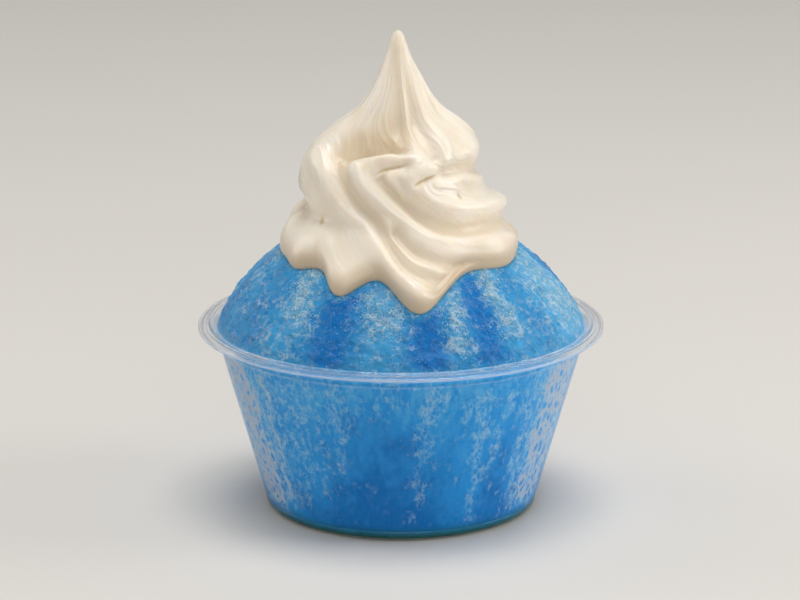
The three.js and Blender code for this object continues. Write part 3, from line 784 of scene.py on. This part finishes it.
class KakigoriSizes(bpy.types.PropertyGroup):
    cup_segments: IntProperty(
        name="Cup segments", description="Steps round the cup", default=256, min=48)
    grain_relief: length_property("Grain relief", "Height of the ice's grains", 0.0004)
    crystal_count: IntProperty(
        name="Crystals", description="Loose ice crystals on the dome", default=10000, min=0)
    crystal_size: length_property("Crystal size", "Mean length of a crystal", 0.00058)
    strand_ridges: length_property("Strand ridges", "Height of the ridges on the strands", 0.00010)
    camera_distance: length_property("Camera distance", "From the middle of the object", 1.4)
    camera_rise: FloatProperty(
        name="Camera angle", description="Above the horizontal", default=np.radians(15.6),
        subtype="ANGLE")
    key_strength: FloatProperty(
        name="Main light", description="Power of the main soft light, in watts", default=8.0)


class KakigoriColours(bpy.types.PropertyGroup):
    plastic: colour_property("Plastic", "Tint of the clear cup", (0.96, 0.97, 0.98))
    milk: colour_property("Milky plastic", "Haze of the cup's rim", (0.9, 0.91, 0.95))
    # Partly painted light: the green stands for the table's warm light seen through the blue syrup.
    melt: colour_property("Melted syrup", "Syrup on the cup's floor", (0.004, 0.11, 0.085))
    melt_top: colour_property("Top of the melt", "Where the syrup meets the ice", (0.007, 0.16, 0.30))
    syrup: colour_property("Syrup", "Ice soaked with syrup", (0.032, 0.28, 0.57))
    syrup_deep: colour_property("Deep syrup", "Ice where the syrup runs", (0.005, 0.155, 0.47))
    syrup_light: colour_property("Thin syrup", "Ice with little syrup", (0.085, 0.43, 0.78))
    # Also painted on the ice's rims, partly as painted highlight.
    frost: colour_property("Frost", "Crystals without syrup", (0.60, 0.72, 0.78))
    crumb: colour_property("Crumbs", "Small frosty crumbs", (0.27, 0.455, 0.55))
    thaw: colour_property("Wet crumbs", "Small crumbs tinted by syrup", (0.10, 0.44, 0.74))
    veil: colour_property("Veil", "Frosty ice", (0.18, 0.42, 0.58))
    wall_syrup: colour_property("Syrup at the wall", "Ice that touches the wall", (0.021, 0.30, 0.71))
    wall_deep: colour_property("Deep syrup at the wall", "Wettest ice at the wall", (0.006, 0.175, 0.52))
    wall_light: colour_property("Thin syrup at the wall", "Palest ice at the wall", (0.09, 0.44, 0.78))
    wall_frost: colour_property("Frost at the wall", "Frosty streaks at the wall", (0.23, 0.56, 0.74))
    # Partly frosty ice clear of the wall, partly painted reflection in the gap.
    gap_and_reflection: colour_property("Gap", "Ice that stands clear of the wall", (0.44, 0.50, 0.62))
    cream: colour_property("Cream", "Soft serve", (0.87, 0.79, 0.67))
    cream_light: colour_property("Light cream", "Streaks in the soft serve", (0.93, 0.89, 0.82))
    # Real denser clouds in the swirl, and also the painted shade of its valleys and pocket.
    dense_cream_and_painted_shade: colour_property("Dense cream", "Denser clouds in the soft serve", (0.76, 0.63, 0.45))
    # Painted shade in the deep creases of the swirl.
    painted_fold_shade: colour_property("Fold cream", "Deep folds of the soft serve", (0.66, 0.5, 0.26))
    # Partly thin melting cream, partly painted shade on the drips.
    melting_cream_and_shade: colour_property("Melting cream", "Thin edge of the soft serve", (0.56, 0.43, 0.28))
    floor: colour_property("Floor", "Floor and backdrop", (0.72, 0.69, 0.65))


# ---- operators
def chosen(context):
    """The scene's sizes and colours."""
    return context.scene.kakigori_sizes, context.scene.kakigori_colours


class KAKIGORI_OT_cup(bpy.types.Operator):
    """Make the clear cup with its foot ring, stacking step and ridged rim"""

    bl_idname = "kakigori.cup"
    bl_label = "Cup"

    def execute(self, context):
        turn = np.linspace(0, np.pi / 2, CORNER_STEPS)
        corner_top = wall_outside(CORNER_HEIGHT)
        outer = np.stack([FOOT_OUTER + (corner_top - FOOT_OUTER) * np.sin(turn),
                          CORNER_HEIGHT * (1 - np.cos(turn))], -1)
        top = CORNER_HEIGHT + WALL
        inner_top = wall_outside(top) - WALL
        inner = np.stack([inner_top - (inner_top - FOOT_OUTER) * (1 - np.sin(turn)),
                          top - CORNER_HEIGHT * np.cos(turn)], -1)[::-1]
        rim = curve_along(RIM_SECTION, 6 * len(RIM_SECTION))
        heights = np.linspace(CORNER_HEIGHT + 1, STEP_HEIGHT - 1, 12)
        wall = np.stack([wall_outside(heights), heights], -1)
        lining = (wall - (WALL, 0))[::-1]
        foot = [(FOOT_INNER - 1, FOOT_RISE), (FOOT_INNER - 0.4, FOOT_RISE * 0.6), (FOOT_INNER, 0.1),
                (FOOT_INNER + 0.2, 0)]
        floor = [(FOOT_INNER - 0.6, WALL), (FOOT_INNER - 1.1, 0.9), (FOOT_INNER - 1.6, FLOOR_TOP)]
        profile = np.vstack([foot, outer, wall, rim, lining, inner, floor])[::-1]
        rings = lathe(profile, context.scene.kakigori_sizes.cup_segments)
        material = plastic_material(context.scene.kakigori_colours)
        across = np.hypot(rings[..., 0], rings[..., 1])
        milky = RIM_HAZE * smoothstep(rings[..., 2], STEP_HEIGHT + 3, STEP_HEIGHT + 4.5)
        for radius, height, half_width, strength in RIM_LINES:
            squared = (across - radius) ** 2 + (rings[..., 2] - height) ** 2
            milky += strength * np.exp(-squared / half_width**2)
        attributes = {"rim": np.clip(milky, 0, 1)}
        piece = make_piece("clear_cup", rings, attributes, material,
                           (0, 0, FLOOR_TOP), (0, 0, FOOT_RISE))
        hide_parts("cup")
        return {"FINISHED"}


class KAKIGORI_OT_melt(bpy.types.Operator):
    """Make the layer of melted syrup on the cup's floor, reaching into the wall"""

    bl_idname = "kakigori.melt"
    bl_label = "Melted syrup"

    def execute(self, context):
        turn = np.linspace(0, np.pi / 2, CORNER_STEPS)
        top = SYRUP_LEVEL + 0.7
        reach = wall_outside(top) - INTO_WALL
        corner = np.stack([FOOT_OUTER - 0.2 + (reach - FOOT_OUTER + 0.2) * np.sin(turn),
                           top - (top - INTO_WALL) * np.cos(turn)], -1)
        underside = [(FOOT_INNER - 1.6, FLOOR_TOP - 0.3), (FOOT_INNER - 0.2, INTO_WALL)]
        profile = np.vstack([underside, corner, [(reach - 1.5, top)]])[::-1]
        rings = lathe(profile, context.scene.kakigori_sizes.cup_segments)
        material = melt_material(context.scene.kakigori_colours)
        piece = make_piece("syrup_layer", rings, {}, material, (0, 0, top), (0, 0, FLOOR_TOP - 0.3))
        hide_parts("melted_syrup")
        return {"FINISHED"}


class KAKIGORI_OT_ice(bpy.types.Operator):
    """Make the ice that fills the cup and its dome above the rim"""

    bl_idname = "kakigori.ice"
    bl_label = "Shaved ice"

    def execute(self, context):
        sizes, colours = chosen(context)
        self.make_dome(sizes, colours)
        self.make_fill(colours)
        return {"FINISHED"}

    def make_dome(self, sizes, colours):
        """Rows step evenly down the dome's slope; value noise of two sizes raises the grains."""
        azimuth = np.arange(DOME_COLUMNS) * 360 / DOME_COLUMNS - 180
        sample = np.linspace(33, DOME_RADIUS, 600)
        slope = dome_height(sample, np.full(len(sample), -90.0))
        length = np.concatenate([[0], np.cumsum(np.hypot(np.diff(sample), np.diff(slope)))])
        radius = np.interp(np.linspace(0, length[-1], DOME_ROWS), length, sample)
        radius = np.concatenate([np.linspace(6, 31, CROWN_ROWS), radius])[:, None]
        rings = turned(azimuth, radius, dome_height(radius, azimuth))
        edge = swirl_edge(azimuth)
        open_ice = smoothstep(radius, edge - 1, edge + 2) * smoothstep(DOME_RADIUS - radius, 0, 1.5)
        grains = sum(strength * (value_noise(rings / size, seed) - 0.5)
                     for seed, (size, strength) in enumerate(GRAINS, 1))
        frost = frost_pattern(DOME_FROST, azimuth, radius)
        outward = rings * (1, 1, 0) / 70 + (0, 0, 0.55)
        raised = open_ice * (grains + 0.8 * frost) * sizes.grain_relief / MM
        rings = rings + outward * raised[..., None]
        under = lathe(np.array([(DOME_RADIUS + 0.1, 56.2), (57.0, 54.0)]), DOME_COLUMNS)
        under = np.roll(under, DOME_COLUMNS // 2, axis=1)
        syrup = np.clip(syrup_pattern(DOME_SYRUP_AND_LIGHT, azimuth), -1, 1) * open_ice
        attributes = {"frost": np.vstack([frost, frost[-1:], frost[-1:]]),
                      "syrup": np.vstack([syrup, syrup[-1:], syrup[-1:]])}
        piece = make_piece("ice_dome", np.concatenate([rings, under]), attributes,
                           ice_top_material(colours), (0, 0, dome_height(0.0, 0.0)), (0, 0, DOME_BASE))
        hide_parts("shaved_ice")

    def make_fill(self, colours):
        """A profile down the inside of the wall, turned about the axis."""
        mouth = [57.6, 57.0, 56.2, 55.6]
        foot = SYRUP_LEVEL + 0.6
        heights = np.concatenate([mouth, np.linspace(55.0, foot, FILL_ROWS)])
        wide = np.arange(len(heights)) < len(mouth)
        radius = np.where(wide, MOUTH_RADIUS + 0.12, wall_outside(heights) - INTO_WALL)
        azimuth = np.arange(FILL_COLUMNS) * 360 / FILL_COLUMNS
        rings = lathe(np.stack([radius, heights], -1), FILL_COLUMNS)
        along = heights[:, None]
        middle = syrup_pattern(WALL_SYRUP, azimuth) * smoothstep(-along, -52, -30)
        deep = np.clip(0.8 * middle + 0.5 * smoothstep(-along, -30, -4), 0, 1)
        attributes = {"frost": frost_pattern(WALL_FROST_AND_REFLECTION, azimuth, along), "syrup": deep,
                      "top": smoothstep(along, 30, 52) + 0 * azimuth}
        piece = make_piece("ice_fill", rings, attributes, ice_side_material(colours),
                           (0, 0, FILL_TOP), (0, 0, foot))
        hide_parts("shaved_ice")


class KAKIGORI_OT_crystals(bpy.types.Operator):
    """Scatter loose ice crystals over the open part of the dome"""

    bl_idname = "kakigori.crystals"
    bl_label = "Ice crystals"

    def execute(self, context):
        """Octahedra of random length, width and turn, thickest where the ice is frosty."""
        sizes, colours = chosen(context)
        random = np.random.default_rng(7)
        tries = sizes.crystal_count * 6
        azimuth = random.uniform(-180, 180, tries)
        radius = np.sqrt(random.uniform(34**2, (DOME_RADIUS - 0.6) ** 2, tries))
        frost = frost_pattern(DOME_FROST, azimuth, radius)
        patch = value_noise(np.stack([azimuth / 5, radius / 3, 0 * radius], -1), 3)
        likely = 0.03 + 0.97 * smoothstep(frost + 0.7 * (patch - 0.5), 0.25, 0.9)
        likely = likely * smoothstep(radius, swirl_edge(azimuth) - 1, swirl_edge(azimuth) + 0.6)
        kept = np.flatnonzero(random.uniform(0, 1, tries) < likely)[: sizes.crystal_count]
        azimuth, radius, frost = azimuth[kept], radius[kept], frost[kept]
        centre = turned(azimuth, radius, dome_height(radius, azimuth))
        centre[:, 2] += random.uniform(0.0, 0.45, len(kept)) * sizes.crystal_size / MM
        corner = np.array([(1, 0, 0), (0, 1, 0), (-1, 0, 0), (0, -1, 0), (0, 0, 1), (0, 0, -1)]) / 2
        shape = random.uniform(0.35, 1.0, (len(kept), 1, 3))
        shape = shape * random.lognormal(0, 0.3, (len(kept), 1, 1))
        bodies = corner * shape * sizes.crystal_size / MM
        spin = np.linalg.qr(random.normal(size=(len(kept), 3, 3)))[0]
        spin *= np.linalg.det(spin)[:, None, None]
        points = np.einsum("nvk,njk->nvj", bodies, spin) + centre[:, None, :]
        face = np.array([(0, 1, 4), (1, 2, 4), (2, 3, 4), (3, 0, 4), (1, 0, 5), (2, 1, 5),
                         (3, 2, 5), (0, 3, 5)])
        faces = (face + 6 * np.arange(len(kept))[:, None, None]).reshape(-1, 3)
        mesh = bpy.data.meshes.new("ice_crystals")
        mesh.from_pydata(points.reshape(-1, 3) * MM, [], faces.tolist())
        tint = np.clip(0.5 * frost + random.normal(0.05, 0.15, len(kept)), 0, 1)
        mesh.attributes.new("frost", "FLOAT", "POINT").data.foreach_set("value", np.repeat(tint, 6))
        piece = place_piece("ice_crystals", mesh, crystal_material(colours))
        return {"FINISHED"}


class KAKIGORI_OT_soft_serve(bpy.types.Operator):
    """Make the swirl of soft serve, with its strands, folds and drips"""

    bl_idname = "kakigori.soft_serve"
    bl_label = "Soft serve"

    def execute(self, context):
        """Bare outline over azimuth and height, raised along its normal by the strands' relief."""
        sizes, colours = chosen(context)
        azimuth = np.arange(SWIRL_COLUMNS) * 360 / SWIRL_COLUMNS - 180
        down = np.linspace(0.004, 1, SWIRL_ROWS)[:, None] ** 1.2
        edge, lip = swirl_edge(azimuth), lip_top(azimuth)
        height = TIP_HEIGHT + (lip - TIP_HEIGHT) * down
        around = np.broadcast_to(azimuth, height.shape)
        bare = swirl_point(around, height, bare_radius(around, height))
        slope = bare_radius(around, height + 0.5) - bare_radius(around, height - 0.5)
        outward = turned(around, 1.0, -slope)
        outward /= np.linalg.norm(outward, axis=-1, keepdims=True)
        relief, order, folded = (v.reshape(height.shape) for v in swirl_relief(bare.reshape(-1, 3)))
        drawn = smoothstep(order, 0.8, 1.6) * smoothstep(height - lip, 2, 10) * 0.8 + 0.2
        cycle = 2 * np.pi * order
        ridges = np.sin(3.1 * cycle) + 0.6 * np.sin(5.3 * cycle + 1.3)
        ridges += 0.4 * np.sin(8.7 * cycle + 0.7)
        relief = relief + drawn * ridges * sizes.strand_ridges / MM
        fade = smoothstep(TIP_HEIGHT - height, 2, 24) * smoothstep(height - lip, 0, 4)
        body = bare + outward * (fade * relief)[..., None]

        curl = np.linspace(np.pi / 2 / LIP_ROWS, np.pi / 2, LIP_ROWS)[:, None]
        tuck = edge - LIP_TUCK
        contact = dome_height(tuck, azimuth) - SINK
        rounded = lip + (contact - lip) * np.sin(curl)
        lip_rings = swirl_point(azimuth, rounded, edge - LIP_TUCK * (1 - np.cos(curl)))
        under_radius = tuck * np.array([0.85, 0.5])[:, None]
        under = swirl_point(azimuth, dome_height(under_radius, azimuth) - SINK, under_radius)
        rings = np.concatenate([body, lip_rings, under])
        along = around * 0.1 + height * 0.2
        # Near the lower edge: partly melting cream, partly painted shade.
        melt_and_shade = 1 - smoothstep(height - lip, -1, 8)
        patterns = {"order": order, "along": along, "folded": folded, "relief": relief,
                    "drawn": drawn, "melt_and_shade": melt_and_shade}
        extra = [(0, len(lip_rings) + len(under)), (0, 0)]
        attributes = {label: np.pad(values, extra, mode="edge") for label, values in patterns.items()}
        piece = make_piece("swirl", rings, attributes, cream_material(colours),
                           (TIP_LEAN, 0, TIP_HEIGHT), (0, 0, dome_height(0.0, 0.0) - SINK))
        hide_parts("soft_serve")
        return {"FINISHED"}


class KAKIGORI_OT_stage(bpy.types.Operator):
    """Set the plain floor, the soft studio lights and the camera"""

    bl_idname = "kakigori.stage"
    bl_label = "Stage"

    def execute(self, context):
        sizes, colours = chosen(context)
        self.make_floor(context.scene, colours)
        self.make_lights(context.scene, sizes)
        self.make_camera(context.scene, sizes)
        return {"FINISHED"}

    def make_floor(self, scene, colours):
        corners = np.array([(-1, -1, 0), (1, -1, 0), (1, 1, 0), (-1, 1, 0)]) * FLOOR_HALF
        mesh = bpy.data.meshes.new("floor")
        mesh.from_pydata(corners, [], [(0, 1, 2, 3)])
        mesh.materials.append(floor_material(colours))
        floor = bpy.data.objects.new("floor", mesh)
        scene.collection.objects.link(floor)

    def make_lights(self, scene, sizes):
        """Square soft lights that face the middle of the object, in a pale world."""
        for name, place, size, share in LIGHTS:
            data = bpy.data.lights.new(name, "AREA")
            data.energy, data.size = sizes.key_strength * share, size
            light = bpy.data.objects.new(name, data)
            light.location = place
            towards = LIGHT_AIM - light.location
            light.rotation_euler = towards.to_track_quat("-Z", "Y").to_euler()
            scene.collection.objects.link(light)
        world = bpy.data.worlds.new("pale studio")
        world.use_nodes = True
        background = world.node_tree.nodes["Background"]
        background.inputs["Color"].default_value = (1.0, 0.985, 0.96, 1)
        background.inputs["Strength"].default_value = 0.38
        scene.world = world
        scene.view_settings.view_transform = "Standard"

    def make_camera(self, scene, sizes):
        data = bpy.data.cameras.new("camera")
        data.sensor_width, data.lens = 36, 198
        data.clip_start, data.clip_end = 0.05, 30
        camera = bpy.data.objects.new("camera", data)
        back = Vector((0, -np.cos(sizes.camera_rise), np.sin(sizes.camera_rise)))
        camera.location = CAMERA_AIM + back * sizes.camera_distance
        camera.rotation_euler = (-back).to_track_quat("-Z", "Y").to_euler()
        scene.collection.objects.link(camera)
        scene.camera = camera


class KAKIGORI_PT_panel(bpy.types.Panel):
    """Lists the kakigori's pieces, sizes and colours"""

    bl_idname = "KAKIGORI_PT_panel"
    bl_label = "Kakigori"
    bl_space_type = "VIEW_3D"
    bl_region_type = "UI"
    bl_category = "Kakigori"

    def draw(self, context):
        column = self.layout.column(align=True)
        for operator in OPERATORS:
            column.operator(operator.bl_idname)
        for group in chosen(context):
            box = self.layout.box()
            for name in group.__annotations__:
                box.prop(group, name)


OPERATORS = (KAKIGORI_OT_stage, KAKIGORI_OT_cup, KAKIGORI_OT_melt, KAKIGORI_OT_ice,
             KAKIGORI_OT_crystals, KAKIGORI_OT_soft_serve)
CLASSES = (KakigoriSizes, KakigoriColours, *OPERATORS, KAKIGORI_PT_panel)


def register():
    for cls in CLASSES:
        bpy.utils.register_class(cls)
    bpy.types.Scene.kakigori_sizes = PointerProperty(type=KakigoriSizes)
    bpy.types.Scene.kakigori_colours = PointerProperty(type=KakigoriColours)


def unregister():
    del bpy.types.Scene.kakigori_colours
    del bpy.types.Scene.kakigori_sizes
    for cls in reversed(CLASSES):
        bpy.utils.unregister_class(cls)


def main():
    register()
    bpy.ops.kakigori.stage()
    bpy.ops.kakigori.cup()
    bpy.ops.kakigori.melt()
    bpy.ops.kakigori.ice()
    bpy.ops.kakigori.crystals()
    bpy.ops.kakigori.soft_serve()


if __name__ == "__main__":
    main()
